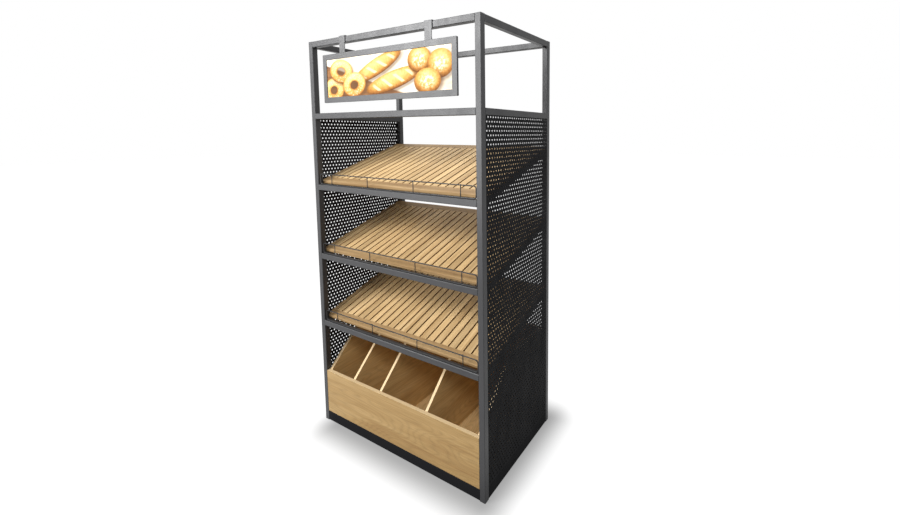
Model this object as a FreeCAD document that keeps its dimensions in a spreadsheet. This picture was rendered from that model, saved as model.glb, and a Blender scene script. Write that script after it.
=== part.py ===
import FreeCAD, Part
import os
import re

import Sketcher

# Bakery bread rack: a welded frame of square tube with perforated sheet sides, three sloping
# slatted decks with wire guards, a divided wooden bin at the bottom and a hanging sign.
# Millimetres. X points right, Y to the rear and Z up; the origin is the middle of the
# footprint, on the floor.

# Driving sizes: name in the spreadsheet, value, meaning.
SIZES = [
    ("rack_width", 1110, "overall width over the posts"),
    ("rack_depth", 620, "overall depth over the posts"),
    ("rack_height", 2100, "floor to the top of the frame"),
    ("tube_side", 30, "square tube of posts and rails"),
    ("tube_wall", 1.5, "wall of every tube"),
    ("tube_corner", 2, "bevel along the tube corners"),
    ("sign_bay", 372, "top of the frame to the top of the rail under the sign"),
    ("shelf_pitch", 380, "front rail to front rail, up to the rail under the sign"),
    ("base_rail_height", 55, "height of the base rails"),
    ("glide_thickness", 2, "flange of the foot glides, under the posts"),
    ("glide_plug", 14, "length of the glide inside the post"),
    ("glide_gap", 0.3, "room between the glide's plug and the tube, each side"),
    ("shelf_slope", 18.8, "slope of the shelves in degrees"),
    ("support_side", 25, "square tube of the sloping supports"),
    ("support_front_rise", 1.5, "top of the support over the front rail's top, at the front post"),
    ("panel_sheet", 2, "thickness of the perforated side sheets"),
    ("hole_diameter", 8.5, "fine perforation of the sheets, which sets their open share"),
    ("hole_pitch", 19.1, "fine perforation, centre to centre along a row"),
    ("hole_row", 19, "fine perforation, row to row"),
    ("openings_across", 8, "openings in a row of the grid that is cut"),
    ("opening_rows", 23, "rows of the grid that is cut"),
    ("deck_thickness", 14, "boards and slats of the decks"),
    ("deck_seat_gap", 0.3, "deck over its supports"),
    ("deck_front_gap", 0.3, "deck behind the front posts"),
    ("deck_rear_gap", 1.5, "deck in front of the rear posts"),
    ("deck_side_gap", 1, "deck beside the perforated sheets"),
    ("end_board", 48, "front and rear boards of a deck"),
    ("side_board", 25, "left and right boards of a deck"),
    ("slat_count", 23, "slats of a deck"),
    ("slat_gap", 9, "gap between slats"),
    ("batten_width", 40, "battens under the slats"),
    ("batten_thickness", 15, "battens under the slats"),
    ("batten_inset", 20, "outer battens to the deck's front and rear edges"),
    ("batten_gap", 1.5, "end of a batten to the support beside it"),
    ("guard_height", 57, "top wire of a guard over the front rail"),
    ("guard_wire", 5, "wire of the guard's loop"),
    ("guard_upright_wire", 4, "wire of the guard's uprights"),
    ("guard_setback", 10, "guard behind the front face of the rail"),
    ("guard_side_gap", 8, "guard to the front posts, at the wire's middle"),
    ("guard_corner", 11, "reach of the guard's bent corners, at the wire's middle"),
    ("guard_inner_upright", 155, "inner uprights, each side of the middle"),
    ("guard_outer_upright", 431, "outer uprights, each side of the middle"),
    ("bin_board", 18, "walls of the bin"),
    ("bin_divider", 14, "dividers of the bin"),
    ("bin_floor", 16, "floor of the bin"),
    ("bin_side_gap", 1, "bin beside the posts"),
    ("bin_front_height", 296, "floor to the top of the bin's front board"),
    ("bin_headroom", 51, "top of the bin's sides and back under the top of the lower front rail"),
    ("bin_slope", 45, "rise of the sides and dividers behind the front board, in degrees"),
    ("bin_upright_drop", 2, "front end of the sides and dividers under the front board's top"),
    ("left_divider", -317, "left divider from the middle of the rack"),
    ("middle_divider", -113, "middle divider from the middle of the rack"),
    ("right_divider", 201, "right divider from the middle of the rack"),
    ("sign_width", 872, "width of the sign"),
    ("sign_height", 242, "height of the sign"),
    ("sign_depth", 10, "depth of the sign's frame"),
    ("sign_border", 27, "visible face of the sign's frame"),
    ("sign_lip", 3, "lip in front of the print"),
    ("sign_overlap", 8, "print and back plate behind the lip, each side"),
    ("sign_fit_gap", 0.5, "print and back plate inside the frame, each side"),
    ("sign_print", 2, "thickness of the print"),
    ("sign_back", 3, "thickness of the back plate"),
    ("sign_drop", 49, "underside of the top rail to the top of the sign"),
    ("hook_spacing", 564, "strap hooks, centre to centre"),
    ("hook_width", 45, "hook over the rail"),
    ("strap_width", 40, "strap under the rail"),
    ("hook_metal", 3, "thickness of the strap"),
    ("hook_gap", 0.3, "hook to the rail, above, in front and behind"),
    ("hook_lip", 20, "leg of the hook behind the rail"),
]

# Sizes that follow from the driving ones, each written once and used by several pieces.
LAYOUT = [
    ("inner_width", "rack_width - 2 * tube_side"),
    ("inner_depth", "rack_depth - 2 * tube_side"),
    ("post_x", "(rack_width - tube_side) / 2"),
    ("post_y", "(rack_depth - tube_side) / 2"),
    ("top_rail_z", "rack_height - tube_side / 2"),
    ("header_height", "rack_height - sign_bay"),
    ("header_rail_z", "header_height - tube_side / 2"),
    ("upper_shelf_height", "header_height - shelf_pitch"),
    ("middle_shelf_height", "upper_shelf_height - shelf_pitch"),
    ("lower_shelf_height", "middle_shelf_height - shelf_pitch"),
    ("base_rail_z", "glide_thickness + base_rail_height / 2"),
    ("base_top", "glide_thickness + base_rail_height"),
    ("sheet_inside", "rack_width / 2 - panel_sheet"),
    # vertical rise of a shelf from the front posts to the rear ones, and what is vertical
    # in the sloping supports
    ("shelf_rise", "inner_depth * tan(shelf_slope)"),
    ("support_height", "support_side / cos(shelf_slope)"),
    ("support_wall", "tube_wall / cos(shelf_slope)"),
    ("support_inside", "sheet_inside - support_side"),
    # a deck in its own plane, from the middle of its underside
    ("deck_side", "sheet_inside - deck_side_gap"),
    ("deck_front",
     "(deck_thickness * sin(shelf_slope) + deck_front_gap - inner_depth / 2) / cos(shelf_slope)"),
    ("deck_rear", "(inner_depth / 2 - deck_rear_gap) / cos(shelf_slope)"),
    ("deck_middle", "(deck_front + deck_rear) / 2"),
    ("slat_front", "deck_front + end_board"),
    ("slat_rear", "deck_rear - end_board"),
    ("slat_field", "deck_side - side_board"),
    ("slat_width", "(2 * slat_field - (slat_count + 1) * slat_gap) / slat_count"),
    ("batten_end", "support_inside - batten_gap"),
    # side sheets: the grid that is cut has the fine perforation's open share
    ("panel_height", "header_height - tube_side - base_top"),
    ("open_share", "pi * hole_diameter ^ 2 / (4 * hole_pitch * hole_row)"),
    ("grid_pitch", "inner_depth / (openings_across + 0.5)"),
    ("grid_row", "panel_height / opening_rows"),
    ("opening_width", "sqrt(open_share * grid_pitch * grid_row / sin(60))"),
    # wire guard, from the middle of its bottom wire
    ("guard_half", "inner_width / 2 - guard_side_gap"),
    ("guard_straight", "guard_half - guard_corner"),
    ("guard_rise", "guard_height - guard_wire / 2"),
    # bin
    ("bin_half", "inner_width / 2 - bin_side_gap"),
    ("bin_inner_half", "bin_half - bin_board"),
    ("bin_inner_rear", "rack_depth / 2 - bin_board"),
    ("bin_floor_top", "base_top + bin_floor"),
    ("bin_rear_height", "lower_shelf_height - bin_headroom"),
    ("bin_upright_front", "bin_front_height - bin_upright_drop"),
    ("bin_crest",
     "(bin_rear_height - bin_upright_front) / tan(bin_slope) - bin_inner_rear"),
    # sign and its hooks
    ("hook_face", "rack_depth / 2 + hook_gap + hook_metal"),
    ("hook_top", "rack_height + hook_gap + hook_metal"),
    ("hook_back", "rack_depth / 2 - tube_side - hook_gap - hook_metal"),
    ("rail_underside", "rack_height - tube_side"),
    ("sign_top", "rail_underside - sign_drop"),
    ("sign_z", "sign_top - sign_height / 2"),
    ("window_width", "sign_width - 2 * sign_border"),
    ("window_height", "sign_height - 2 * sign_border"),
    ("insert_width", "window_width + 2 * sign_overlap"),
    ("insert_height", "window_height + 2 * sign_overlap"),
    ("print_y", "sign_lip + sign_print / 2 - hook_face"),
    ("back_y", "sign_lip + sign_print + sign_back / 2 - hook_face"),
]

# Sides that stand for the round of a wire.
WIRE_SIDES = 12

doc = FreeCAD.newDocument("BreadRack")
pieces = []


# ---- sizes and formulas ---------------------------------------------------------------------

def fill_sheet():
    """Put the driving sizes into the spreadsheet, each with its alias."""
    sheet = doc.addObject("Spreadsheet::Sheet", "Sizes")
    for row, (name, value, meaning) in enumerate(SIZES, start=1):
        sheet.set(f"A{row}", meaning)
        sheet.set(f"B{row}", str(value))
        sheet.setAlias(f"B{row}", name)
    doc.recompute()


def full(formula):
    """Write a formula of plain size names as references to the sheet and to the layout."""
    driving = {name for name, _, _ in SIZES}
    derived = {name for name, _ in LAYOUT}

    def owner(match):
        word = match.group(0)
        if word in driving:
            return f"Sizes.{word}"
        return f"Layout.{word}" if word in derived else word

    return re.sub(r"[a-z_]+", owner, formula)


def fill_layout():
    """Hold each derived size as a property whose formula refers to the sheet."""
    layout = doc.addObject("App::VarSet", "Layout")
    for name, formula in LAYOUT:
        layout.addProperty("App::PropertyFloat", name, "Derived")
        layout.setExpression(name, full(formula))
    doc.recompute()
    return layout


def number(formula):
    """Value of a formula at the present sizes, for a first drawing of a sketch."""
    return float(layout.evalExpression(full(formula)))


# ---- sketches and features ------------------------------------------------------------------

def new_body(label, groups=False):
    """Start a piece; groups allows several separate solids, such as a set of slats."""
    body = doc.addObject("PartDesign::Body", label)
    body.Label = label
    body.AllowCompound = groups
    pieces.append(body)
    return body


def new_sketch(body, name, plane, offset="0"):
    """Add a sketch on one of the body's own origin planes, or at an offset along its normal."""
    sketch = body.newObject("Sketcher::SketchObject", f"{body.Name}_{name}")
    support = [item for item in body.Origin.OriginFeatures if item.Role == plane]
    sketch.AttachmentSupport = (support[0], [""])
    sketch.MapMode = "FlatFace"
    sketch.setExpression("AttachmentOffset.Base.z", full(offset))
    return sketch


def dimension(sketch, kind, curve, point, formula):
    """Tie one coordinate of a point to a formula, measured from the sketch's origin."""
    if formula == "0":
        axis = -2 if kind == "DistanceX" else -1
        sketch.addConstraint(Sketcher.Constraint("PointOnObject", curve, point, axis))
        return
    constraint = Sketcher.Constraint(kind, -1, 1, curve, point, number(formula))
    index = sketch.addConstraint(constraint)
    name = f"{kind[-1].lower()}_{curve}_{point}"
    sketch.renameConstraint(index, name)
    sketch.setExpression(f"Constraints.{name}", full(formula))


def place_point(sketch, curve, point, spot):
    """Tie a point of the sketch to a pair of formulas."""
    dimension(sketch, "DistanceX", curve, point, spot[0])
    dimension(sketch, "DistanceY", curve, point, spot[1])


def vector(spot):
    """Point of a sketch at a pair of formulas."""
    return FreeCAD.Vector(number(spot[0]), number(spot[1]), 0)


def add_polygon(sketch, corners):
    """Draw a closed outline, every corner tied to its formulas."""
    first = sketch.GeometryCount
    count = len(corners)
    for index, corner in enumerate(corners):
        following = corners[(index + 1) % count]
        sketch.addGeometry(Part.LineSegment(vector(corner), vector(following)))
    for index, corner in enumerate(corners):
        following = first + (index + 1) % count
        sketch.addConstraint(Sketcher.Constraint("Coincident", first + index, 2, following, 1))
        place_point(sketch, first + index, 1, corner)


def add_rectangle(sketch, left, right, bottom, top):
    """Draw a rectangle by the formulas of its four sides."""
    add_polygon(sketch, [(left, bottom), (right, bottom), (right, top), (left, top)])


def add_round(sketch, across, up, width, sides):
    """Draw a many-sided outline about a point, its width measured over the flats."""
    reach = f"{width} / 2 / cos({180 / sides})"
    turns = [360 * (corner + 0.5) / sides for corner in range(sides)]
    add_polygon(sketch, [(f"{across} + {reach} * cos({turn})", f"{up} + {reach} * sin({turn})")
                         for turn in turns])


def bevelled(width, height, bevel):
    """Corners of a rectangle about the origin with its corners bevelled."""
    across = f"({width}) / 2"
    up = f"({height}) / 2"
    quarter = [(across, f"{up} - {bevel}"), (f"{across} - {bevel}", up)]
    corners = []
    for side, rise, order in ((1, 1, 1), (-1, 1, -1), (-1, -1, 1), (1, -1, -1)):
        for far, high in quarter[::order]:
            corners.append((f"{side} * ({far})", f"{rise} * ({high})"))
    return corners


def extrude(body, kind, sketch, length, both_ways=False, backwards=False):
    """Pad or pocket a sketch over a length."""
    feature = body.newObject(f"PartDesign::{kind}", f"{sketch.Name}_{kind.lower()}")
    feature.Profile = sketch
    feature.SideType = "Symmetric" if both_ways else "One side"
    feature.Reversed = backwards
    feature.setExpression("Length", full(length))
    return feature


def place(body, across="0", deep="0", up="0"):
    """Put a piece at its place in the rack."""
    for axis, formula in zip("xyz", (across, deep, up)):
        body.setExpression(f"Placement.Base.{axis}", full(formula))


def repeat(body, feature, sketch, counts, steps, down=False):
    """Repeat a feature along the sketch's two axes, or along the first one only."""
    pattern = body.newObject("PartDesign::LinearPattern", f"{feature.Name}_pattern")
    pattern.Originals = [feature]
    pattern.Direction = (sketch, ["H_Axis"])
    pattern.Mode = "Spacing"
    pattern.setExpression("Occurrences", full(counts[0]))
    pattern.setExpression("Offset", full(steps[0]))
    if len(counts) == 2:
        pattern.Direction2 = (sketch, ["V_Axis"])
        pattern.Mode2 = "Spacing"
        pattern.Reversed2 = down
        pattern.setExpression("Occurrences2", full(counts[1]))
        pattern.setExpression("Offset2", full(steps[1]))
        # the list of single steps starts with a zero, and -1 stands for the common step
        pattern.Spacings2 = [-1.0]
    body.Tip = pattern


# ---- frame ----------------------------------------------------------------------------------

def make_rail(label, plane, rail_height, length, spot):
    """Square or oblong tube between two others, drawn across its length."""
    body = new_body(label)
    outline = new_sketch(body, "outline", plane)
    add_polygon(outline, bevelled("tube_side", rail_height, "tube_corner"))
    extrude(body, "Pad", outline, length, both_ways=True)
    bore = new_sketch(body, "bore", plane)
    inner_side = "(tube_side / 2 - tube_wall)"
    inner_rise = f"({rail_height} / 2 - tube_wall)"
    add_rectangle(bore, f"-{inner_side}", inner_side, f"-{inner_rise}", inner_rise)
    extrude(body, "Pocket", bore, length, both_ways=True)
    place(body, *spot)


def make_post(label, side, end):
    """Post: tube open below for its glide and closed on top by a welded cap."""
    body = new_body(label)
    outline = new_sketch(body, "outline", "XY_Plane")
    add_polygon(outline, bevelled("tube_side", "tube_side", "tube_corner"))
    extrude(body, "Pad", outline, "rack_height - glide_thickness")
    bore = new_sketch(body, "bore", "XY_Plane")
    inner = "(tube_side / 2 - tube_wall)"
    add_rectangle(bore, f"-{inner}", inner, f"-{inner}", inner)
    extrude(body, "Pocket", bore, "rack_height - glide_thickness - tube_wall", backwards=True)
    place(body, f"{side} * post_x", f"{end} * post_y", "glide_thickness")


def make_glides():
    """Four plastic glides, each with a flange under its post and a plug inside it."""
    body = new_body("foot_glides", groups=True)
    flange = new_sketch(body, "flange", "XY_Plane")
    plug = new_sketch(body, "plug", "XY_Plane")
    plug_side = "(tube_side / 2 - tube_wall - glide_gap)"
    for index, (side, end) in enumerate(((-1, -1), (1, -1), (1, 1), (-1, 1))):
        across = f"{side} * post_x"
        deep = f"{end} * post_y"
        square = bevelled("tube_side", "tube_side", "tube_corner")
        add_polygon(flange, [(f"{across} + {far}", f"{deep} + {high}") for far, high in square])
        add_rectangle(plug, f"{across} - {plug_side}", f"{across} + {plug_side}",
                      f"{deep} - {plug_side}", f"{deep} + {plug_side}")
    extrude(body, "Pad", flange, "glide_thickness")
    extrude(body, "Pad", plug, "glide_thickness + glide_plug")


def make_frame():
    """Posts, rails and glides."""
    corners = (("front_left", -1, -1), ("front_right", 1, -1),
               ("rear_left", -1, 1), ("rear_right", 1, 1))
    for corner, side, end in corners:
        make_post(f"post_{corner}", side, end)
    make_glides()
    levels = (("top", "tube_side", "top_rail_z"), ("base", "base_rail_height", "base_rail_z"),
              ("header", "tube_side", "header_rail_z"))
    for level, rail_height, middle in levels:
        ends = (("front", -1),) if level == "header" else (("front", -1), ("rear", 1))
        for name, end in ends:
            make_rail(f"{level}_rail_{name}", "YZ_Plane", rail_height, "inner_width",
                      ("0", f"{end} * post_y", middle))
        for name, side in (("left", -1), ("right", 1)):
            make_rail(f"{level}_rail_{name}", "XZ_Plane", rail_height, "inner_depth",
                      (f"{side} * post_x", "0", middle))


# ---- shelves --------------------------------------------------------------------------------

def make_support(label, side, seat):
    """Sloping tube between two posts; seat is the middle of its upper face."""
    body = new_body(label)
    ends = (("-inner_depth / 2", "-shelf_rise / 2"), ("inner_depth / 2", "shelf_rise / 2"))
    for kind, inset, width in (("Pad", "0", "support_side"),
                               ("Pocket", "support_wall", "support_side - 2 * tube_wall")):
        sketch = new_sketch(body, kind.lower(), "YZ_Plane")
        below = [(deep, f"{rise} - support_height + {inset}") for deep, rise in ends]
        above = [(deep, f"{rise} - {inset}") for deep, rise in reversed(ends)]
        add_polygon(sketch, below + above)
        extrude(body, kind, sketch, width, both_ways=True)
    place(body, f"{side} * (sheet_inside - support_side / 2)", "0", seat)


def tilt(body, seat):
    """Lay a piece of a deck on its supports; its sketches are in the deck's own plane."""
    place(body, "0", "0", f"{seat} + deck_seat_gap")
    body.Placement.Rotation = FreeCAD.Rotation(FreeCAD.Vector(1, 0, 0), number("shelf_slope"))
    body.setExpression("Placement.Rotation.Angle", full("shelf_slope * 1 deg"))


def make_deck(shelf, seat):
    """Wooden deck: end boards and side boards round the slats, with battens underneath."""
    boards = new_body(f"{shelf}_deck_end_boards", groups=True)
    sketch = new_sketch(boards, "outline", "XY_Plane")
    add_rectangle(sketch, "-deck_side", "deck_side", "deck_front", "slat_front")
    add_rectangle(sketch, "-deck_side", "deck_side", "slat_rear", "deck_rear")
    extrude(boards, "Pad", sketch, "deck_thickness")

    sides = new_body(f"{shelf}_deck_side_boards", groups=True)
    sketch = new_sketch(sides, "outline", "XY_Plane")
    add_rectangle(sketch, "-deck_side", "-slat_field", "slat_front", "slat_rear")
    add_rectangle(sketch, "slat_field", "deck_side", "slat_front", "slat_rear")
    extrude(sides, "Pad", sketch, "deck_thickness")

    slats = new_body(f"{shelf}_deck_slats", groups=True)
    sketch = new_sketch(slats, "outline", "XY_Plane")
    left = "(slat_gap - slat_field)"
    add_rectangle(sketch, left, f"{left} + slat_width", "slat_front", "slat_rear")
    slat = extrude(slats, "Pad", sketch, "deck_thickness")
    repeat(slats, slat, sketch, ["slat_count"], ["slat_width + slat_gap"])

    battens = new_body(f"{shelf}_deck_battens", groups=True)
    sketch = new_sketch(battens, "outline", "XY_Plane")
    half = "batten_width / 2"
    for middle in (f"deck_front + batten_inset + {half}", "deck_middle",
                   f"deck_rear - batten_inset - {half}"):
        add_rectangle(sketch, "-batten_end", "batten_end",
                      f"{middle} - {half}", f"{middle} + {half}")
    extrude(battens, "Pad", sketch, "batten_thickness", backwards=True)

    for body in (boards, sides, slats, battens):
        tilt(body, seat)


def make_guard(label, rail_top):
    """Wire guard on the front rail: a loop, and four uprights lapped behind it."""
    body = new_body(label, groups=True)
    path = new_sketch(body, "path", "XZ_Plane")
    bend = [("guard_straight", "0"),
            ("guard_straight + guard_corner * sin(45)", "guard_corner * (1 - cos(45))"),
            ("guard_half", "guard_corner")]
    right = bend + [(across, f"guard_rise - ({up})") for across, up in reversed(bend)]
    left = [(f"-({across})", up) for across, up in reversed(right)]
    add_polygon(path, [("0", "0")] + right + left)
    section = new_sketch(body, "section", "YZ_Plane")
    add_round(section, "0", "0", "guard_wire", WIRE_SIDES)
    loop = body.newObject("PartDesign::AdditivePipe", f"{label}_loop")
    loop.Profile = section
    loop.Spine = path
    loop.Transition = "Right corner"
    uprights = new_sketch(body, "uprights", "XY_Plane", "-guard_wire / 2")
    lap = "(guard_wire + guard_upright_wire) / 2"
    for across in ("guard_inner_upright", "guard_outer_upright"):
        for side in ("", "-"):
            add_round(uprights, side + across, lap, "guard_upright_wire", WIRE_SIDES)
    extrude(body, "Pad", uprights, "guard_rise + guard_wire")
    place(body, "0", "guard_setback - rack_depth / 2", f"{rail_top} + guard_wire / 2")


def make_shelves():
    """Rails, supports, deck and guard of each shelf."""
    for shelf in ("upper", "middle", "lower"):
        rail_top = f"{shelf}_shelf_height"
        front_seat = f"{rail_top} + support_front_rise"
        make_rail(f"{shelf}_shelf_rail_front", "YZ_Plane", "tube_side", "inner_width",
                  ("0", "-post_y", f"{rail_top} - tube_side / 2"))
        make_rail(f"{shelf}_shelf_rail_rear", "YZ_Plane", "tube_side", "inner_width",
                  ("0", "post_y", f"{front_seat} + shelf_rise - tube_side / 2"))
        seat = f"{front_seat} + shelf_rise / 2"
        for name, side in (("left", -1), ("right", 1)):
            make_support(f"{shelf}_shelf_support_{name}", side, seat)
        make_deck(shelf, seat)
        make_guard(f"{shelf}_shelf_guard", rail_top)


# ---- side panels ----------------------------------------------------------------------------

def make_side_panel(label, side):
    """Openwork sheet, flush with the tubes round it: six-sided openings in staggered rows."""
    body = new_body(label)
    outline = new_sketch(body, "outline", "YZ_Plane")
    add_rectangle(outline, "-inner_depth / 2", "inner_depth / 2", "0", "panel_height")
    extrude(body, "Pad", outline, "panel_sheet", both_ways=True)
    rows = (("even", "grid_pitch / 2", "grid_row / 2", "ceil(opening_rows / 2)"),
            ("odd", "grid_pitch", "3 * grid_row / 2", "floor(opening_rows / 2)"))
    for name, inset, drop, count in rows:
        opening = new_sketch(body, name, "YZ_Plane")
        add_round(opening, f"{inset} - inner_depth / 2", f"panel_height - {drop}",
                  "opening_width", 6)
        cut = extrude(body, "Pocket", opening, "panel_sheet", both_ways=True)
        repeat(body, cut, opening, ["openings_across", count], ["grid_pitch", "2 * grid_row"],
               down=True)
    place(body, f"{side} * (sheet_inside + panel_sheet / 2)", "0", "base_top")


# ---- bread bin ------------------------------------------------------------------------------

def make_board(label, plane, thickness, sides, spot):
    """Rectangular board of the bin."""
    body = new_body(label)
    sketch = new_sketch(body, "outline", plane)
    add_rectangle(sketch, *sides)
    extrude(body, "Pad", sketch, thickness, both_ways=True)
    place(body, *spot)


def make_bin():
    """Open wooden bin on the base rails, its walls rising to the rear."""
    front_y = "(bin_board - rack_depth) / 2"
    inside = ("-bin_inner_half", "bin_inner_half")
    make_board("bin_front_board", "XZ_Plane", "bin_board",
               ("-bin_half", "bin_half", "base_top", "bin_front_height"), ("0", front_y, "0"))
    make_board("bin_back_board", "XZ_Plane", "bin_board",
               (*inside, "base_top", "bin_rear_height"), ("0", f"-{front_y}", "0"))
    make_board("bin_floor", "XY_Plane", "bin_floor",
               (*inside, "-bin_inner_rear", "bin_inner_rear"),
               ("0", "0", "base_top + bin_floor / 2"))

    def upright(rear, foot):
        """Outline of a side or divider, from behind the front board to its rear end."""
        return [("-bin_inner_rear", foot), (rear, foot), (rear, "bin_rear_height"),
                ("bin_crest", "bin_rear_height"), ("-bin_inner_rear", "bin_upright_front")]

    wall = upright("rack_depth / 2", "base_top")
    divider = upright("bin_inner_rear", "bin_floor_top")
    wall_x = "(bin_half - bin_board / 2)"
    uprights = (("bin_left_wall", wall, "bin_board", f"-{wall_x}"),
                ("bin_right_wall", wall, "bin_board", wall_x),
                ("bin_left_divider", divider, "bin_divider", "left_divider"),
                ("bin_middle_divider", divider, "bin_divider", "middle_divider"),
                ("bin_right_divider", divider, "bin_divider", "right_divider"))
    for label, corners, thickness, across in uprights:
        body = new_body(label)
        sketch = new_sketch(body, "outline", "YZ_Plane")
        add_polygon(sketch, corners)
        extrude(body, "Pad", sketch, thickness, both_ways=True)
        place(body, across)


# ---- sign -----------------------------------------------------------------------------------

def make_sign_sheet(label, thickness, deep):
    """Flat sheet that fits into the rebate of the sign's frame."""
    body = new_body(label)
    sketch = new_sketch(body, "outline", "XZ_Plane")
    across = "(insert_width / 2 - sign_fit_gap)"
    up = "(insert_height / 2 - sign_fit_gap)"
    add_rectangle(sketch, f"-{across}", across, f"-{up}", up)
    extrude(body, "Pad", sketch, thickness, both_ways=True)
    place(body, "0", deep, "sign_z")


def make_sign_frame():
    """Picture frame of the sign: an open window with a rebate behind its lip."""
    body = new_body("sign_frame")
    outline = new_sketch(body, "outline", "XZ_Plane")
    add_polygon(outline, bevelled("sign_width", "sign_height", "tube_corner"))
    extrude(body, "Pad", outline, "sign_depth", both_ways=True)
    window = new_sketch(body, "window", "XZ_Plane")
    add_rectangle(window, "-window_width / 2", "window_width / 2",
                  "-window_height / 2", "window_height / 2")
    extrude(body, "Pocket", window, "sign_depth", both_ways=True)
    rebate = new_sketch(body, "rebate", "XZ_Plane", "sign_depth / 2 - sign_lip")
    add_rectangle(rebate, "-insert_width / 2", "insert_width / 2",
                  "-insert_height / 2", "insert_height / 2")
    extrude(body, "Pocket", rebate, "sign_depth")
    place(body, "0", "sign_depth / 2 - hook_face", "sign_z")


def make_hook(label, side):
    """Strap bent over the top rail; its foot lies on the sign's frame."""
    body = new_body(label)
    hook = new_sketch(body, "hook", "YZ_Plane")
    bevel = "hook_metal / 2"
    face = "-hook_face"
    behind = "-hook_back"
    add_polygon(hook, [
        (face, "rail_underside"),
        (f"{face} + hook_metal", "rail_underside"),
        (f"{face} + hook_metal", "hook_top - hook_metal"),
        (f"{behind} - hook_metal", "hook_top - hook_metal"),
        (f"{behind} - hook_metal", "hook_top - hook_metal - hook_lip"),
        (behind, "hook_top - hook_metal - hook_lip"),
        (behind, f"hook_top - {bevel}"),
        (f"{behind} - {bevel}", "hook_top"),
        (f"{face} + {bevel}", "hook_top"),
        (face, f"hook_top - {bevel}"),
    ])
    extrude(body, "Pad", hook, "hook_width", both_ways=True)
    strap = new_sketch(body, "strap", "YZ_Plane")
    add_polygon(strap, [
        (face, "rail_underside"),
        (face, "sign_top"),
        (f"{face} + sign_depth", "sign_top"),
        (f"{face} + sign_depth", "sign_top + hook_metal"),
        (f"{face} + hook_metal", "sign_top + hook_metal"),
        (f"{face} + hook_metal", "rail_underside"),
    ])
    extrude(body, "Pad", strap, "strap_width", both_ways=True)
    place(body, f"{side} * hook_spacing / 2")


def make_sign():
    """Sign frame, print and back plate on two strap hooks."""
    make_sign_frame()
    make_sign_sheet("sign_print", "sign_print", "print_y")
    make_sign_sheet("sign_back_plate", "sign_back", "back_y")
    make_hook("sign_hook_left", -1)
    make_hook("sign_hook_right", 1)


# ---- check and write ------------------------------------------------------------------------

def check():
    """Stop if any object failed to compute or any piece is empty or broken."""
    failed = [item.Name for item in doc.Objects if {"Invalid", "Error"} & set(item.State)]
    broken = [body.Label for body in pieces if body.Shape.isNull() or not body.Shape.isValid()]
    if failed or broken:
        raise RuntimeError(f"failed: {failed}, broken: {broken}")


def write():
    """Write each piece to its own file."""
    os.makedirs("parts", exist_ok=True)
    for body in pieces:
        body.Shape.exportStep(os.path.join("parts", f"{body.Label}.step"))


fill_sheet()
layout = fill_layout()
make_frame()
make_shelves()
make_side_panel("side_panel_left", -1)
make_side_panel("side_panel_right", 1)
make_bin()
make_sign()
doc.recompute()
check()
write()
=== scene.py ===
import math

import bmesh
import bpy
from mathutils import Matrix, Vector


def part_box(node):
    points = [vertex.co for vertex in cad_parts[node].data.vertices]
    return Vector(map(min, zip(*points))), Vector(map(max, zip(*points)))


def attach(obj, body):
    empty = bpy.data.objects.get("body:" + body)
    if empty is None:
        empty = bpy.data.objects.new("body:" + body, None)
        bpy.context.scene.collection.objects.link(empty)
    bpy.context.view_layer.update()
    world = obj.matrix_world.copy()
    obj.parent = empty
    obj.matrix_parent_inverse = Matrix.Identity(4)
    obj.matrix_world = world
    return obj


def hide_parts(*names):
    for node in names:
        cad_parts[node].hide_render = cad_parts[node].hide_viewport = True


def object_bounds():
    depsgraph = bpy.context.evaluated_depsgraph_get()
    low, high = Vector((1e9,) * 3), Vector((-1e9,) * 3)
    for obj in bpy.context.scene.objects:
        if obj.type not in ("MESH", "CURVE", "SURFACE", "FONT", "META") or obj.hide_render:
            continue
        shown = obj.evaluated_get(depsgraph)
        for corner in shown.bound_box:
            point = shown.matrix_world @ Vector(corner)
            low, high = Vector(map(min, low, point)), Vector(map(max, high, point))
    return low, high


# Looks of the bakery bread rack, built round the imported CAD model. Metres, in the CAD's frame:
# X right, Y to the rear, Z up, origin on the floor under the middle of the rack.

MILLIMETRE = 0.001
SHELVES = ("upper", "middle", "lower")
SLOPE = math.radians(18.8)

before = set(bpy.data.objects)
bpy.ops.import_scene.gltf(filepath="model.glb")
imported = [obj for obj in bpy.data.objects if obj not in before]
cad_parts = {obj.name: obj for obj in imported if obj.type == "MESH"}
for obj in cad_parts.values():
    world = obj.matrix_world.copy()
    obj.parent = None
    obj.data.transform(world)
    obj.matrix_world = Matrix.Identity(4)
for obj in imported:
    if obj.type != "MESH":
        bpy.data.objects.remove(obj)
cad_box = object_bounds()


def new_object(name, data, material=None):
    """Put a mesh, lamp or camera into the scene as an object."""
    made = bpy.data.objects.new(name, data)
    bpy.context.scene.collection.objects.link(made)
    if material:
        data.materials.append(material)
    return made


# ---- shader nodes ---------------------------------------------------------------------------

BEVEL_SAMPLES = 6


def shade(colour, factor, lift=0.0):
    """A colour times a factor, lifted evenly towards white."""
    return tuple(min(1.0, factor * part + lift) for part in colour)


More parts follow.
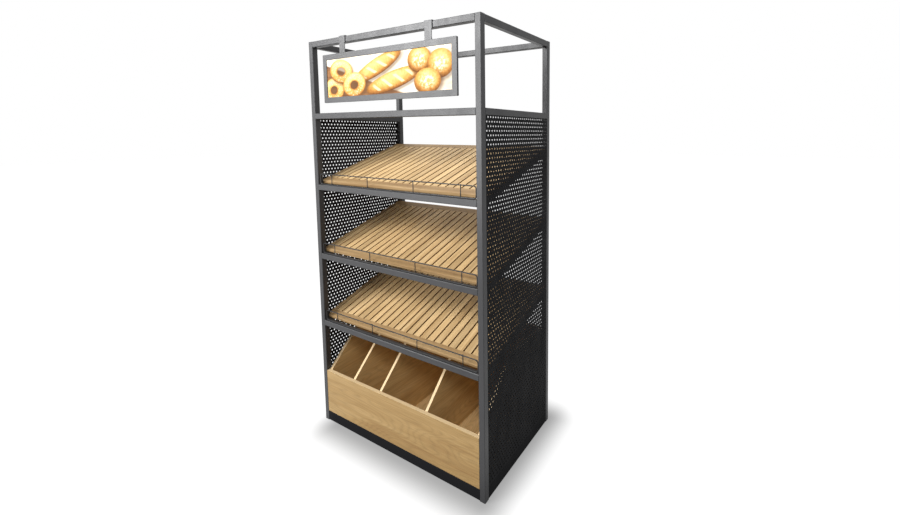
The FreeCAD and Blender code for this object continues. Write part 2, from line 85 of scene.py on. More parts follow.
class Shader:
    """Node tree of one material, with a short call for each kind of node that it uses."""

    def __init__(self, name):
        self.material = bpy.data.materials.new(name)
        self.material.use_nodes = True
        self.tree = self.material.node_tree
        self.surface = self.tree.nodes["Principled BSDF"]
        self.place = self.add("ShaderNodeTexCoord").outputs["Object"]

    def add(self, kind, settings=None, **inputs):
        """Add a node. An input has its socket's name, or _ and its socket's number, and takes a
        constant or another node's output."""
        made = self.tree.nodes.new(kind)
        for name, value in (settings or {}).items():
            setattr(made, name, value)
        for name, value in inputs.items():
            key = int(name[1:]) if name[0] == "_" else name.replace("_", " ")
            self.join(value, made.inputs[key])
        return made

    def join(self, value, socket):
        """Link an output to a socket, or set the socket to a constant."""
        if isinstance(value, bpy.types.NodeSocket):
            self.tree.links.new(value, socket)
        else:
            socket.default_value = value

    def maths(self, operation, first, second=0.0, third=0.0, clamp=False):
        """Number worked out from one, two or three others."""
        made = self.add("ShaderNodeMath", {"operation": operation, "use_clamp": clamp},
                        _0=first, _1=second, _2=third)
        return made.outputs[0]

    def vectors(self, operation, first, second=(0, 0, 0)):
        """Vector, or for a length or dot product the number, worked out from one or two others."""
        made = self.add("ShaderNodeVectorMath", {"operation": operation}, _0=first, _1=second)
        return made.outputs["Value" if operation in ("LENGTH", "DOT_PRODUCT") else "Vector"]

    def split(self, vector):
        """Parts of a vector, called X, Y and Z."""
        return self.add("ShaderNodeSeparateXYZ", Vector=vector).outputs

    def remap(self, value, start=0.0, stop=1.0, low=0.0, high=1.0, soft=False):
        """Number that goes from low to high while a value goes from start to stop."""
        made = self.add("ShaderNodeMapRange",
                        {"interpolation_type": "SMOOTHSTEP" if soft else "LINEAR"},
                        Value=value, _1=start, _2=stop, _3=low, _4=high)
        return made.outputs[0]

    def mapped(self, scale=(1, 1, 1), turn=(0, 0, 0), vector=None):
        """Turned and scaled coordinates."""
        made = self.add("ShaderNodeMapping", Vector=vector or self.place, Rotation=turn,
                        Scale=scale)
        return made.outputs[0]

    def noise(self, vector, scale, detail=2.0, roughness=0.5, distortion=0.0):
        """Soft random pattern, from 0 to 1."""
        made = self.add("ShaderNodeTexNoise", Vector=vector, Scale=scale, Detail=detail,
                        Roughness=roughness, Distortion=distortion)
        return made.outputs["Fac"]

    def ramp(self, value, stops):
        """Colour ramp; stops are (position, colour or grey)."""
        made = self.add("ShaderNodeValToRGB", Fac=value)
        elements = made.color_ramp.elements
        while len(elements) < len(stops):
            elements.new(0.5)
        for element, (position, colour) in zip(elements, stops):
            element.position = position
            if isinstance(colour, (int, float)):
                colour = (colour,) * 3
            element.color = (*colour, 1)
        return made.outputs["Color"]

    def blend(self, share, under, over, mode="MIX"):
        """Colour over another by a share from 0 to 1."""
        made = self.add("ShaderNodeMix", {"data_type": "RGBA", "blend_type": mode})
        factor, under_socket, over_socket = (made.inputs[number] for number in (0, 6, 7))
        self.join(share, factor)
        for socket, value in ((under_socket, under), (over_socket, over)):
            if isinstance(value, tuple):
                value = (*value[:3], 1)
            self.join(value, socket)
        return made.outputs[2]

    def multiplied(self, tone, pattern, share=1.0):
        """Colour darkened or lightened by a pattern."""
        return self.blend(share, tone, pattern, "MULTIPLY")

    def face_normal(self):
        """Normal of the flat face."""
        return self.add("ShaderNodeNewGeometry").outputs["True Normal"]

    def rounded_normal(self, radius):
        """Normal as if the edges were rounded with a radius."""
        return self.add("ShaderNodeBevel", {"samples": BEVEL_SAMPLES}, Radius=radius).outputs[0]

    def facing(self, axis):
        """1 on faces square to an axis, 0 on faces along it."""
        return self.maths("ABSOLUTE", self.split(self.face_normal())[axis])

    def edge_share(self, radius, gain):
        """0 on flat faces, rising to at most 1 at the edges, within a radius."""
        likeness = self.vectors("DOT_PRODUCT", self.rounded_normal(radius), self.face_normal())
        return self.maths("MULTIPLY", self.maths("SUBTRACT", 1.0, likeness), gain, clamp=True)

    def finish(self, colour, roughness, height, depth, edge, specular=0.5):
        """Wire the surface: colour, roughness, bump of a depth, rounded edges, specular level."""
        bump = self.add("ShaderNodeBump", Height=height, Distance=depth,
                        Normal=self.rounded_normal(edge)).outputs[0]
        for name, value in (("Base Color", colour), ("Roughness", roughness), ("Normal", bump),
                            ("Specular IOR Level", specular)):
            self.join(value, self.surface.inputs[name])
        return self.material


# ---- powder coat, wood and plastic ----------------------------------------------------------

def powder_coat(name, colour, roughness, specular):
    """Satin powder coat on steel: fine orange peel, faint clouds of tone, rubbed edges."""
    shader = Shader(name)
    clouds = shader.noise(shader.place, scale=7.0, detail=3.0)
    tone = shader.ramp(clouds, [(0.3, shade(colour, 0.92)), (0.7, shade(colour, 1.08))])
    grain = shader.noise(shader.place, scale=1400.0)
    tone = shader.multiplied(tone, shader.ramp(grain, [(0.35, 0.9), (0.65, 1.06)]))
    patches = shader.noise(shader.place, scale=26.0, detail=3.0)
    rubbed = shader.maths("MULTIPLY", shader.edge_share(1.2 * MILLIMETRE, gain=2.2),
                          shader.ramp(patches, [(0.42, 0.0), (0.62, 1.0)]))
    worn = shade(colour, 1.5, lift=0.035)
    tone = shader.blend(shader.maths("MULTIPLY", rubbed, 0.6), tone, worn)
    smears = shader.noise(shader.mapped((1, 1, 0.35)), scale=11.0, detail=4.0, roughness=0.6)
    rough = shader.remap(smears, 0.3, 0.7, roughness - 0.06, roughness + 0.08)
    peel = shader.noise(shader.place, scale=520.0, roughness=0.55)
    return shader.finish(tone, rough, peel, depth=0.12 * MILLIMETRE, edge=1.5 * MILLIMETRE,
                         specular=specular)


def separate_boards(shader, along, axis, pitch, start):
    """Give each board its own part of the grain, far from its neighbour's, and a random number."""
    across = shader.maths("SUBTRACT", shader.split(shader.place)[axis], start)
    board = shader.maths("FLOOR", shader.maths("DIVIDE", across, pitch))
    lot = shader.add("ShaderNodeTexWhiteNoise", {"noise_dimensions": "1D"}, W=board)
    lot = lot.outputs["Value"]
    shift = shader.add("ShaderNodeCombineXYZ", X=shader.maths("MULTIPLY", board, 0.37),
                       Y=shader.maths("MULTIPLY", lot, 3.0),
                       Z=shader.maths("MULTIPLY", board, 0.11)).outputs[0]
    return shader.vectors("ADD", along, shift), lot


def veneer_lines(shader, along):
    """Arched growth lines of flat-sawn veneer."""
    leaf = shader.noise(shader.mapped((0.7, 5.0, 5.0), vector=along), scale=1.0, detail=3.0,
                        roughness=0.35, distortion=0.3)
    wave = shader.maths("SINE", shader.maths("MULTIPLY", leaf, 280.0))
    return shader.ramp(shader.maths("MULTIPLY_ADD", wave, 0.5, 0.5),
                       [(0.0, 0.70), (0.35, 0.98), (0.7, 1.0), (1.0, 1.08)])


def wood(name, tones, turn, boards=None, banding=None, figure=0.0):
    """Lacquered wood in a pale, a middle and a dark tone.

    turn brings X along the grain. boards is the axis across separate boards, their pitch and
    where the first one starts. banding is the axis across which the narrow faces lie, and their
    tone. figure is the strength of the veneer's growth lines.
    """
    pale, middle, dark = tones
    shader = Shader(name)
    along = shader.mapped(turn=turn)
    if boards:
        along, lot = separate_boards(shader, along, *boards)
    bands = shader.noise(shader.mapped((1.1, 16, 16), vector=along), scale=1.7, detail=4.0,
                         roughness=0.55, distortion=0.5)
    tone = shader.ramp(bands, [(0.28, dark), (0.5, middle), (0.74, pale)])
    fibres = shader.noise(shader.mapped((3.5, 190, 190), vector=along), scale=1.6, detail=3.0,
                          roughness=0.6)
    streaks = shader.ramp(fibres, [(0.3, 0.86), (0.7, 1.07)])
    tone = shader.multiplied(tone, streaks, share=0.9)
    if figure:
        tone = shader.multiplied(tone, veneer_lines(shader, along), share=figure)
    pores = shader.noise(shader.mapped((9, 420, 420), vector=along), scale=1.5, detail=1.0,
                         roughness=0.4)
    tone = shader.multiplied(tone, shader.ramp(pores, [(0.60, 1.0), (0.72, 0.72)]), share=0.6)
    if boards:
        tone = shader.multiplied(tone, shader.remap(lot, low=0.86, high=1.10))
        # Painted shade: side faces that look into the gaps between boards are darkened towards the
        # dark tone
        painted_gap_shade = shader.maths("GREATER_THAN", shader.facing(boards[0]), 0.5)
        tone = shader.multiplied(tone, dark, share=shader.maths("MULTIPLY", painted_gap_shade, 0.75))
    if banding:
        axis, edge_tone = banding
        narrow = shader.maths("LESS_THAN", shader.facing(axis), 0.5)
        tone = shader.blend(shader.maths("MULTIPLY", narrow, 0.85), tone,
                            shader.multiplied(edge_tone, streaks))
    worn = shader.maths("MULTIPLY", shader.edge_share(1.5 * MILLIMETRE, gain=2.0), 0.35)
    tone = shader.blend(worn, tone, shade(pale, 1.15))
    rough = shader.remap(fibres, 0.3, 0.7, 0.58, 0.44)
    return shader.finish(tone, rough, shader.maths("ADD", fibres, pores),
                         depth=0.25 * MILLIMETRE, edge=1.2 * MILLIMETRE, specular=0.3)


def moulded_plastic(name, colour):
    """Matt moulded plastic with a fine spark-eroded grain."""
    shader = Shader(name)
    grain = shader.noise(shader.place, scale=2200.0)
    tone = shader.ramp(grain, [(0.3, shade(colour, 0.8)), (0.7, shade(colour, 1.25))])
    rough = shader.remap(shader.noise(shader.place, scale=60.0, detail=3.0), low=0.5, high=0.75)
    return shader.finish(tone, rough, grain, depth=0.1 * MILLIMETRE, edge=0.8 * MILLIMETRE)


# ---- printed sheet of the sign --------------------------------------------------------------

# Motifs of the printed picture: their middle across and above the sheet's middle height, half
# length and half height in metres, and a turn in degrees. The later ones lie on top. A ring's
# crust is highest at RING_MIDDLE of the way to its rim. The cloth's slanting edge passes
# CLOTH_DROP below the middle of the sheet, and the dark board shows below that.
BATONS = ((-0.045, 0.034, 0.170, 0.040, 20), (0.060, -0.034, 0.180, 0.042, 13))
RINGS = ((-0.360, -0.058, 0.080, 0.060, 4), (-0.300, 0.030, 0.088, 0.058, -8),
         (-0.205, -0.040, 0.084, 0.060, 6))
BUNS = ((0.225, 0.046, 0.070, 0.056, 0), (0.345, 0.020, 0.074, 0.062, 0),
        (0.270, -0.050, 0.078, 0.056, 0))
RING_MIDDLE = 0.66
SHADOW_FALL = (0.010, -0.010)
SHADOW_GROWTH = 1.08
CLOTH_DROP = 62 * MILLIMETRE
CLOTH_BLUR = 10 * MILLIMETRE

CRUSTS = [(0.0, (0.11, 0.035, 0.008)), (0.28, (0.34, 0.14, 0.03)), (0.5, (0.60, 0.32, 0.08)),
          (0.72, (0.78, 0.52, 0.20)), (1.0, (0.88, 0.72, 0.45))]
LINENS = [(0.3, (0.62, 0.50, 0.36)), (0.5, (0.84, 0.75, 0.60)), (0.7, (0.93, 0.88, 0.78))]
PLANKS = [(0.3, (0.16, 0.07, 0.03)), (0.7, (0.30, 0.15, 0.06))]
CRUMB = (0.84, 0.66, 0.40)
SEED = (0.88, 0.76, 0.55)
FLOUR = (0.90, 0.80, 0.66)
SHADOW = (0.10, 0.045, 0.02)


class Picture(Shader):
    """Printed picture of bread, drawn by formulas round a middle height."""

    def __init__(self, name, middle_height):
        super().__init__(name)
        self.middle_height = middle_height
        self.crumbs = self.noise(self.place, scale=85.0, detail=4.0, roughness=0.65)
        self.tone = None

    def span(self, value, start, stop):
        """0 at the start of a range, 1 at its end, soft between."""
        return self.remap(value, start, stop, soft=True)

    def both(self, first, second):
        """Share of a place that lies in two soft forms."""
        return self.maths("MULTIPLY", first, second)

    def cover(self, share, colour, strength=1.0):
        """Print a colour over what is there already."""
        if strength < 1.0:
            share = self.maths("MULTIPLY", share, strength)
        self.tone = self.blend(share, self.tone, colour)

    def local(self, motif, move=(0.0, 0.0), grow=1.0):
        """Coordinates of a motif: 1 at its rim, X along its length."""
        across, up, half_length, half_height, degrees = motif
        return self.add("ShaderNodeMapping", {"vector_type": "TEXTURE"}, Vector=self.place,
                        Location=(across + move[0], 0, self.middle_height + up + move[1]),
                        Rotation=(0, -math.radians(degrees), 0),
                        Scale=(grow * half_length, 1e6, grow * half_height)).outputs[0]

    def shadow(self, motif):
        """Soft shadow of a motif on what lies under it."""
        away = self.vectors("LENGTH", self.local(motif, SHADOW_FALL, SHADOW_GROWTH))
        self.cover(self.span(away, 1.15, 0.8), SHADOW, strength=0.7)

    def crust(self, away, spot):
        """Baked tone: lighter above, darker towards the rim."""
        light = self.maths("MULTIPLY_ADD", self.split(spot)["Z"], 0.24, 0.62)
        rim = self.maths("MULTIPLY", self.maths("POWER", away, 3.0), 0.42)
        light = self.maths("SUBTRACT", light, rim)
        light = self.maths("MULTIPLY_ADD", self.crumbs, 0.42, self.maths("SUBTRACT", light, 0.21))
        return self.ramp(light, CRUSTS)

    def baton(self, motif):
        """Long crusty roll with slanting cuts."""
        self.shadow(motif)
        spot = self.local(motif)
        away = self.vectors("LENGTH", spot)
        self.cover(self.span(away, 1.03, 0.97), self.crust(away, spot))
        length, height = (self.split(spot)[axis] for axis in "XZ")
        slant = self.maths("MULTIPLY", height, 0.55)
        beat = self.maths("FRACT", self.maths("MULTIPLY_ADD", length, 2.3, slant))
        near = self.maths("ABSOLUTE", self.maths("SUBTRACT", beat, 0.5))
        cut = self.both(self.span(near, 0.17, 0.09), self.span(away, 0.86, 0.66))
        cut = self.both(cut, self.span(self.maths("ABSOLUTE", height), 0.66, 0.46))
        self.cover(cut, CRUMB, strength=0.8)

    def ring(self, motif):
        """Ring-shaped roll with pale seeds."""
        self.shadow(motif)
        spot = self.local(motif)
        away = self.maths("SUBTRACT", self.vectors("LENGTH", spot), RING_MIDDLE)
        away = self.maths("DIVIDE", self.maths("ABSOLUTE", away), 1.0 - RING_MIDDLE)
        self.cover(self.span(away, 1.04, 0.92), self.crust(away, spot))
        seeds = self.add("ShaderNodeTexVoronoi", Vector=self.mapped((150, 0, 150)), Scale=1.0)
        seeds = self.span(seeds.outputs["Distance"], 0.34, 0.24)
        self.cover(self.both(seeds, self.span(away, 0.75, 0.5)), SEED, strength=0.75)

    def bun(self, motif):
        """Round bun dusted with flour."""
        self.shadow(motif)
        spot = self.local(motif)
        away = self.vectors("LENGTH", spot)
        self.cover(self.span(away, 1.03, 0.96), self.crust(away, spot))
        dust = self.both(self.span(away, 0.75, 0.2), self.span(self.crumbs, 0.42, 0.62))
        self.cover(dust, FLOUR, strength=0.85)


def sign_print(name, middle_height):
    """Batons, seeded rings and floured buns on a pale cloth over a dark board."""
    shader = Picture(name, middle_height)
    cloth = shader.noise(shader.mapped((1, 1, 1.8), (0, 0.5, 0)), scale=6.0, detail=3.0,
                         roughness=0.55, distortion=0.5)
    weave = shader.noise(shader.mapped((320, 1, 320)), scale=1.0, detail=1.0)
    shader.tone = shader.multiplied(shader.ramp(cloth, LINENS),
                                    shader.ramp(weave, [(0.3, 0.8), (0.7, 1.0)]), share=0.25)
    parts = shader.split(shader.place)
    slant = shader.maths("MULTIPLY_ADD", parts["X"], 0.30, parts["Z"])
    grain = shader.noise(shader.mapped((6, 1, 120)), scale=1.0, detail=3.0)
    edge = middle_height - CLOTH_DROP
    shader.cover(shader.span(slant, edge + CLOTH_BLUR, edge), shader.ramp(grain, PLANKS))
    for draw, motifs in ((shader.baton, BATONS), (shader.ring, RINGS), (shader.bun, BUNS)):
        for motif in motifs:
            draw(motif)
    return shader.finish(shader.tone, shader.remap(cloth, low=0.5, high=0.62),
                         shader.noise(shader.place, scale=800.0), depth=0.03 * MILLIMETRE,
                         edge=0.3 * MILLIMETRE, specular=0.06)


# ---- materials of the CAD nodes -------------------------------------------------------------

frame_coat = powder_coat("frame_coat", (0.028, 0.028, 0.030), roughness=0.42, specular=0.42)
base_coat = powder_coat("base_coat", (0.008, 0.008, 0.009), roughness=0.65, specular=0.06)
panel_coat = powder_coat("panel_coat", (0.014, 0.014, 0.015), roughness=0.65, specular=0.06)
guard_coat = powder_coat("guard_coat", (0.015, 0.015, 0.016), roughness=0.5, specular=0.3)
sign_coat = powder_coat("sign_coat", (0.05, 0.05, 0.052), roughness=0.42, specular=0.40)
sign_back_coat = powder_coat("sign_back_coat", (0.05, 0.05, 0.052), roughness=0.5, specular=0.3)
screw_black = powder_coat("screw_black", (0.03, 0.03, 0.031), roughness=0.35, specular=0.5)
glide_plastic = moulded_plastic("glide_plastic", (0.02, 0.02, 0.02))

# Euler turns that bring X along the grain
ALONG_X = (0, 0, 0)
ALONG_Y = (0, 0, -math.pi / 2)
ALONG_DECK = (-SLOPE, 0, -math.pi / 2)

# pale, middle and dark tone of each use of wood; some are darker or lighter copies of another, as
# painted shade or painted light
SLAT_TONES = ((0.61, 0.435, 0.23), (0.51, 0.35, 0.17), (0.38, 0.24, 0.105))
# Painted shade: the slats' wood written darker for the deck's end boards, side boards and battens
SHADED_BOARD_TONES = ((0.39, 0.265, 0.132), (0.32, 0.205, 0.095), (0.24, 0.143, 0.06))
OAK_TONES = ((0.41, 0.273, 0.12), (0.353, 0.226, 0.091), (0.283, 0.168, 0.063))
# Painted light: the front board's oak written lighter for the bin's walls, which lie in shade
WALL_TONES_PAINTED_LIGHT = ((0.63, 0.42, 0.19), (0.55, 0.35, 0.145), (0.45, 0.27, 0.10))
# Painted light: the same oak written about twice as light for the bin's floor, which lies deep in
# shade
FLOOR_TONES_PAINTED_LIGHT = ((0.82, 0.58, 0.30), (0.74, 0.50, 0.235), (0.61, 0.395, 0.17))
EDGE_TONE = (0.64, 0.48, 0.28)
OAK_FIGURE = 0.35

SLATS = 23
SLAT_GAP = 9 * MILLIMETRE
slats_low, slats_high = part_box("upper_deck_slats")
slat_pitch = (slats_high.x - slats_low.x + SLAT_GAP) / SLATS

slat_wood = wood("slat_wood", SLAT_TONES, ALONG_DECK, boards=("X", slat_pitch, slats_low.x))
board_wood = wood("board_wood", SHADED_BOARD_TONES, ALONG_X)
side_wood = wood("side_wood", SHADED_BOARD_TONES, ALONG_DECK)
front_oak = wood("front_oak", OAK_TONES, ALONG_X, banding=("Y", EDGE_TONE), figure=OAK_FIGURE)
wall_oak_painted_light = wood("wall_oak_painted_light", WALL_TONES_PAINTED_LIGHT, ALONG_Y, banding=("X", EDGE_TONE), figure=OAK_FIGURE)
floor_oak_painted_light = wood("floor_oak_painted_light", FLOOR_TONES_PAINTED_LIGHT, ALONG_Y, figure=OAK_FIGURE)

print_low, print_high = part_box("sign_print")
picture = sign_print("sign_print_sheet", (print_low.z + print_high.z) / 2)

# How the name of a CAD node starts and ends, and its material; the first row that fits counts.
LOOKS = (
    ("foot_glides", "", glide_plastic),
    ("base_rail", "", base_coat),
    ("side_panel", "", panel_coat),
    ("", "_guard", guard_coat),
    ("", "_deck_slats", slat_wood),
    ("", "_deck_side_boards", side_wood),
    ("", "_deck_end_boards", board_wood),
    ("", "_deck_battens", board_wood),
    ("bin_front_board", "", front_oak),
    ("bin_back_board", "", front_oak),
    ("bin_floor", "", floor_oak_painted_light),
    ("bin", "", wall_oak_painted_light),
    ("sign_print", "", picture),
    ("sign_back_plate", "", sign_back_coat),
    ("sign", "", sign_coat),
    ("", "", frame_coat),
)

for name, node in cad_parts.items():
    fitting = [look for start, end, look in LOOKS if name.startswith(start) and name.endswith(end)]
    node.data.materials.clear()
    node.data.materials.append(fitting[0])


# ---- perforated side sheets -----------------------------------------------------------------

HOLE_PITCH = 19.1 * MILLIMETRE
ROW_PITCH = 19.0 * MILLIMETRE
HOLE_RADIUS = 4.25 * MILLIMETRE
HOLES_IN_ROW = 29
TOP_MARGIN = 7.0 * MILLIMETRE
HALF_HOLE_SIDES = 6


class Sheet:
    """Flat sheet square to X, with the same outlines on both sides. Places are (Y, Z)."""

    def __init__(self, left, right):
        self.planes = (left, right)
        self.numbers = {}
        self.points = []
        self.faces = []

    def point(self, side, across, up):
        """Number of the point at a place on one side; faces that meet there share it."""
        key = (side, round(across, 6), round(up, 6))
        if key not in self.numbers:
            self.numbers[key] = len(self.points)
            self.points.append((self.planes[side], across, up))
        return self.numbers[key]

    def both_sides(self, outline):
        """The same face on both sides of the sheet."""
        for side in (0, 1):
            self.faces.append([self.point(side, *spot) for spot in outline])

    def half_hole(self, left, right, centre, middle, end):
        """Sheet from a row's middle height to its end, with half a hole and the hole's wall."""
        rise = math.copysign(1, end - middle)
        turns = [math.pi * step / HALF_HOLE_SIDES for step in range(HALF_HOLE_SIDES + 1)]
        arc = [(centre + HOLE_RADIUS * math.cos(turn),
                middle + rise * HOLE_RADIUS * math.sin(turn)) for turn in turns]
        self.both_sides([(left, middle), (left, end), (centre, end), (right, end),
                         (right, middle)] + arc)
        for start, stop in zip(arc, arc[1:]):
            self.faces.append([self.point(0, *start), self.point(0, *stop),
                               self.point(1, *stop), self.point(1, *start)])

    def row(self, front, rear, middle, ends, first):
        """Row of holes from the first centre on, with plain sheet up to the front and rear. ends
        are the heights where the row stops, above and below its middle."""
        half = HOLE_PITCH / 2
        centres = [first + HOLE_PITCH * hole for hole in range(HOLES_IN_ROW)]
        near_front = centres[0] - front < rear - centres[-1]
        splits = [centres[0] - half if not near_front else front]
        splits += [centre + half for centre in centres[:-1]]
        splits += [centres[-1] + half if near_front else rear]
        for centre, left, right in zip(centres, splits, splits[1:]):
            for end in ends:
                self.half_hole(left, right, centre, middle, end)
        plain = (rear, splits[-1]) if near_front else (front, splits[0])
        for end in ends:
            self.both_sides([(plain[0], middle), (plain[0], end), (plain[1], end),
                             (plain[1], middle)])

    def mesh(self, name):
        """Closed mesh: the open rim round the sheet is bridged."""
        made = bpy.data.meshes.new(name)
        made.from_pydata(self.points, [], self.faces)
        shape = bmesh.new()
        shape.from_mesh(made)
        bmesh.ops.bridge_loops(shape, edges=[edge for edge in shape.edges if edge.is_boundary])
        bmesh.ops.recalc_face_normals(shape, faces=shape.faces)
        shape.to_mesh(made)
        shape.free()
        return made


def perforated_sheet(side):
    """Side sheet with round holes in staggered rows, open right through."""
    low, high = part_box(f"side_panel_{side}")
    sheet = Sheet(low.x, high.x)
    rows = int((high.z - low.z - 2 * TOP_MARGIN) / ROW_PITCH) + 1
    heights = [high.z - TOP_MARGIN - ROW_PITCH * row for row in range(rows)]
    bounds = [high.z] + [height - ROW_PITCH / 2 for height in heights[:-1]] + [low.z]
    first = -HOLE_PITCH * (HOLES_IN_ROW - 0.5) / 2
    for row, middle in enumerate(heights):
        stagger = 0 if row % 2 else HOLE_PITCH / 2
        sheet.row(low.y, high.y, middle, bounds[row:row + 2], first + stagger)
    name = f"perforated_sheet_{side}"
    made = new_object(name, sheet.mesh(name), panel_coat)
    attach(made, "frame")
    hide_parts(f"side_panel_{side}")


for side in ("left", "right"):
    perforated_sheet(side)


# ---- screws ---------------------------------------------------------------------------------

HEAD_STEPS = 18
HEAD_HEIGHT = 0.5
# Rings of a low domed head with a hexagonal socket, from its foot to the socket's floor: share
# of the head's radius, share of its height, and whether the ring is the socket's hexagon.
HEAD_RINGS = ((1.0, 0.0, False), (1.0, 0.35, False), (0.84, 0.78, False), (0.58, 1.0, False),
              (0.44, 1.0, True), (0.44, 0.3, True))
HOOK_SCREW_RADIUS = 2.8 * MILLIMETRE
HOOK_SCREW_SPREAD = 11 * MILLIMETRE
HOOK_FOOT_MIDDLE = 6.5 * MILLIMETRE
HOOK_METAL = 3 * MILLIMETRE
PLATE_SCREW_RADIUS = 2.6 * MILLIMETRE
PLATE_SCREW_COLUMNS = 5
PLATE_SIDE_INSET = 5 * MILLIMETRE
PLATE_EDGE_INSET = 4 * MILLIMETRE
BATTEN_SCREW_RADIUS = 4 * MILLIMETRE
BATTEN_SCREWS = 12
BATTEN_END_INSET = 28 * MILLIMETRE
BATTEN_WIDTH = 40 * MILLIMETRE
BATTEN_THICKNESS = 15 * MILLIMETRE


def head_ring(radius, share, rise, socket):
    """Corners of one ring of a head that stands on the XY plane."""
    corners = []
    for step in range(HEAD_STEPS):
        turn = math.tau * step / HEAD_STEPS
        reach = radius * share
        if socket:
            reach *= math.cos(math.pi / 6) / math.cos(turn % (math.pi / 3) - math.pi / 6)
        corners.append(Vector((reach * math.cos(turn), reach * math.sin(turn),
                               HEAD_HEIGHT * radius * rise)))
    return corners


def screw_heads(name, spots, facing, radius, body):
    """Domed screw heads on a surface that faces one way, joined as one object of one body."""
    shape = bmesh.new()
    turned = Vector(facing).to_track_quat("Z", "Y").to_matrix().to_4x4()
    for spot in spots:
        placed = Matrix.Translation(Vector(spot)) @ turned
        rings = [[shape.verts.new(placed @ corner) for corner in head_ring(radius, *ring)]
                 for ring in HEAD_RINGS]
        for outer, inner in zip(rings, rings[1:]):
            for step in range(HEAD_STEPS):
                after = (step + 1) % HEAD_STEPS
                shape.faces.new((outer[step], outer[after], inner[after], inner[step]))
        shape.faces.new(rings[0][::-1])
        shape.faces.new(rings[-1])
    mesh = bpy.data.meshes.new(name)
    shape.to_mesh(mesh)
    shape.free()
    made = new_object(name, mesh, screw_black)
    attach(made, body)


def hook_screws():
    """Two through the foot of each hook into the sign's frame."""
    spots = []
    for side in ("left", "right"):
        low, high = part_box(f"sign_hook_{side}")
        for away in (-HOOK_SCREW_SPREAD, HOOK_SCREW_SPREAD):
            spots.append(((low.x + high.x) / 2 + away, low.y + HOOK_FOOT_MIDDLE,
                          low.z + HOOK_METAL))
    screw_heads("hook_screws", spots, (0, 0, 1), HOOK_SCREW_RADIUS, "sign")


def back_plate_screws():
    """Along the lower and the upper edge of the sign's back plate."""
    low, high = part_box("sign_back_plate")
    pitch = (high.x - low.x - 2 * PLATE_SIDE_INSET) / (PLATE_SCREW_COLUMNS - 1)
    spots = []
    for column in range(PLATE_SCREW_COLUMNS):
        across = low.x + PLATE_SIDE_INSET + column * pitch
        spots += [(across, high.y, low.z + PLATE_EDGE_INSET),
                  (across, high.y, high.z - PLATE_EDGE_INSET)]
    screw_heads("back_plate_screws", spots, (0, 1, 0), PLATE_SCREW_RADIUS, "sign")


def batten_screws(shelf):
    """A row under each of a deck's three battens, up into the slats."""
    low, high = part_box(f"{shelf}_deck_battens")
    sine, cosine = math.sin(SLOPE), math.cos(SLOPE)
    middle_y = (low.y + high.y + BATTEN_THICKNESS * sine) / 2
    middle_z = (low.z + high.z - BATTEN_THICKNESS * cosine) / 2
    deck_reach = (high.z - low.z - BATTEN_THICKNESS * cosine) / sine / 2
    outer = deck_reach - BATTEN_WIDTH / 2
    pitch = (high.x - low.x - 2 * BATTEN_END_INSET) / (BATTEN_SCREWS - 1)
    spots = []
    for away in (-outer, 0.0, outer):
        for step in range(BATTEN_SCREWS):
            spots.append((low.x + BATTEN_END_INSET + step * pitch,
                          middle_y + away * cosine, middle_z + away * sine))
    screw_heads(f"{shelf}_batten_screws", spots, (0, sine, -cosine), BATTEN_SCREW_RADIUS,
                f"{shelf}_deck")


hook_screws()
back_plate_screws()
for shelf in SHELVES:
    batten_screws(shelf)


# ---- floor, light and camera ----------------------------------------------------------------

FILL_LIGHT = 0.24
FLOOR_HALF = 30.0
FLOOR_GREY = (0.08, 0.08, 0.08, 1)
# Painted shadow on the floor: how far its sides lie inside the rack's, the floor's dimmed glow in
# it, and the reach round it over which the glow rises to white.
PAINTED_SHADOW_LEFT_INSET = 0.12
PAINTED_SHADOW_RIGHT_INSET = 0.015
PAINTED_SHADOW_GLOW = 0.33
PAINTED_SHADOW_REACH = 0.19

# Camera fitted to the photograph by the corners of the posts and rails
CAMERA_PLACE = (1.52235, -1.65979, 1.62645)
CAMERA_DOWN = 0.0906
CAMERA_LEFT = 0.5147
SENSOR_WIDTH = 36.0
FOCAL_LENGTH = 16.308
SHIFT_ACROSS = -0.0841
SHIFT_UP = -0.0976


def area_lamp(name, place, target, size, watts):
    """Soft rectangular lamp at a place, aimed at a target."""
    lamp = bpy.data.lights.new(name, "AREA")
    lamp.shape = "RECTANGLE"
    lamp.size, lamp.size_y = size
    lamp.energy = watts
    made = new_object(name, lamp)
    made.location = place
    aim = Vector(target) - Vector(place)
    made.rotation_euler = aim.to_track_quat("-Z", "Y").to_euler()


def shown_background(tree):
    """1 for rays that show the background: camera, mirror and glass rays."""
    rays = tree.nodes.new("ShaderNodeLightPath").outputs
    share = rays["Is Camera Ray"]
    for name in ("Is Glossy Ray", "Is Transmission Ray"):
        either = tree.nodes.new("ShaderNodeMath")
        either.operation = "MAXIMUM"
        tree.links.new(share, either.inputs[0])
        tree.links.new(rays[name], either.inputs[1])
        share = either.outputs[0]
    return share


def make_world():
    """White behind the rack, and a weaker even fill light."""
    world = bpy.data.worlds.new("studio")
    bpy.context.scene.world = world
    world.use_nodes = True
    tree = world.node_tree
    background = tree.nodes["Background"]
    strength = tree.nodes.new("ShaderNodeMapRange")
    strength.inputs["To Min"].default_value = FILL_LIGHT
    strength.inputs["To Max"].default_value = 1.0
    tree.links.new(shown_background(tree), strength.inputs["Value"])
    tree.links.new(strength.outputs[0], background.inputs["Strength"])
    background.inputs["Color"].default_value = (1, 1, 1, 1)


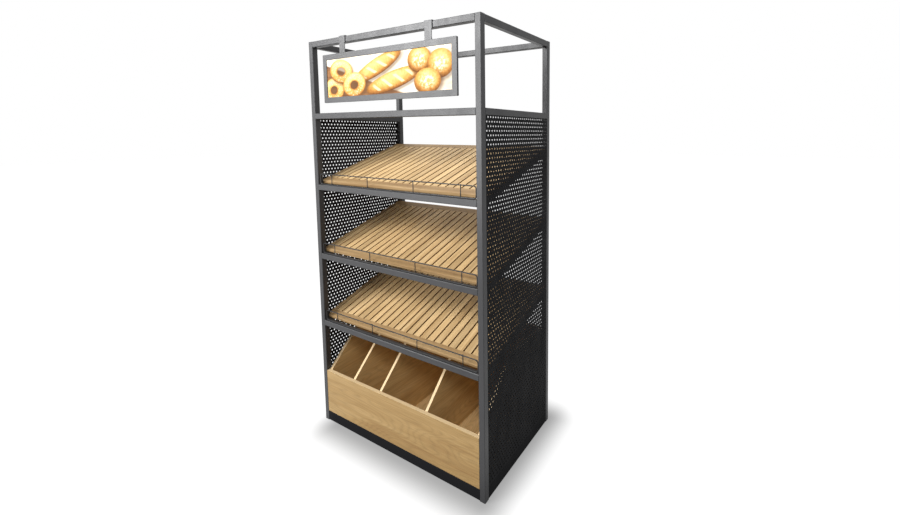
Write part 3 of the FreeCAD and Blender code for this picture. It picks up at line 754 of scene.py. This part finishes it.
def make_floor():
    """Pale floor whose glow is dimmed round the rack as painted shadow and turns white away from
    it; its grey diffuse part keeps the rack's real shadow.
    """
    left = cad_box[0][0] + PAINTED_SHADOW_LEFT_INSET
    right = cad_box[1][0] - PAINTED_SHADOW_RIGHT_INSET
    middle = ((left + right) / 2, 0, 0)
    half = ((right - left) / 2, cad_box[1][1], 0)
    shader = Shader("floor")
    away = shader.vectors("ABSOLUTE", shader.vectors("SUBTRACT", shader.place, middle))
    away = shader.vectors("MAXIMUM", shader.vectors("SUBTRACT", away, half))
    # Painted shadow: the glow is dimmed near the rack's footprint
    glow = shader.remap(shader.vectors("LENGTH", away), 0.0, PAINTED_SHADOW_REACH, PAINTED_SHADOW_GLOW, 1.0,
                        soft=True)
    glow = shader.maths("MULTIPLY", shown_background(shader.tree), glow)
    shader.tree.nodes.remove(shader.surface)
    matt = shader.add("ShaderNodeBsdfDiffuse", Color=FLOOR_GREY).outputs[0]
    light = shader.add("ShaderNodeEmission", Strength=glow).outputs[0]
    total = shader.add("ShaderNodeAddShader", _0=matt, _1=light).outputs[0]
    shader.join(total, shader.tree.nodes["Material Output"].inputs["Surface"])

    mesh = bpy.data.meshes.new("floor")
    corners = [(-FLOOR_HALF, -FLOOR_HALF, 0), (FLOOR_HALF, -FLOOR_HALF, 0),
               (FLOOR_HALF, FLOOR_HALF, 0), (-FLOOR_HALF, FLOOR_HALF, 0)]
    mesh.from_pydata(corners, [], [(0, 1, 2, 3)])
    new_object("floor", mesh, shader.material)


def make_camera():
    """Camera at the photograph's viewpoint; the shift frames the rack left of the middle."""
    data = bpy.data.cameras.new("camera")
    data.sensor_width = SENSOR_WIDTH
    data.lens = FOCAL_LENGTH
    data.shift_x = SHIFT_ACROSS
    data.shift_y = SHIFT_UP
    data.clip_start = 0.05
    made = new_object("camera", data)
    made.location = CAMERA_PLACE
    made.rotation_euler = (math.pi / 2 - CAMERA_DOWN, 0, CAMERA_LEFT)
    bpy.context.scene.camera = made


make_floor()
make_world()
area_lamp("key", place=(-2.1, -3.0, 3.2), target=(0, -0.3, 2.0), size=(2.0, 1.0), watts=160)
area_lamp("low", place=(-1.5, -3.1, 1.6), target=(0, -0.3, 1.4), size=(2.2, 1.3), watts=90)
area_lamp("front", place=(1.5, -2.3, 2.9), target=(0.35, -0.1, 0.2), size=(1.0, 0.7), watts=60)
area_lamp("top", place=(0.1, 0.5, 4.0), target=(0, 0, 1.5), size=(1.6, 1.2), watts=35)
make_camera()
bpy.context.scene.view_settings.view_transform = "Standard"
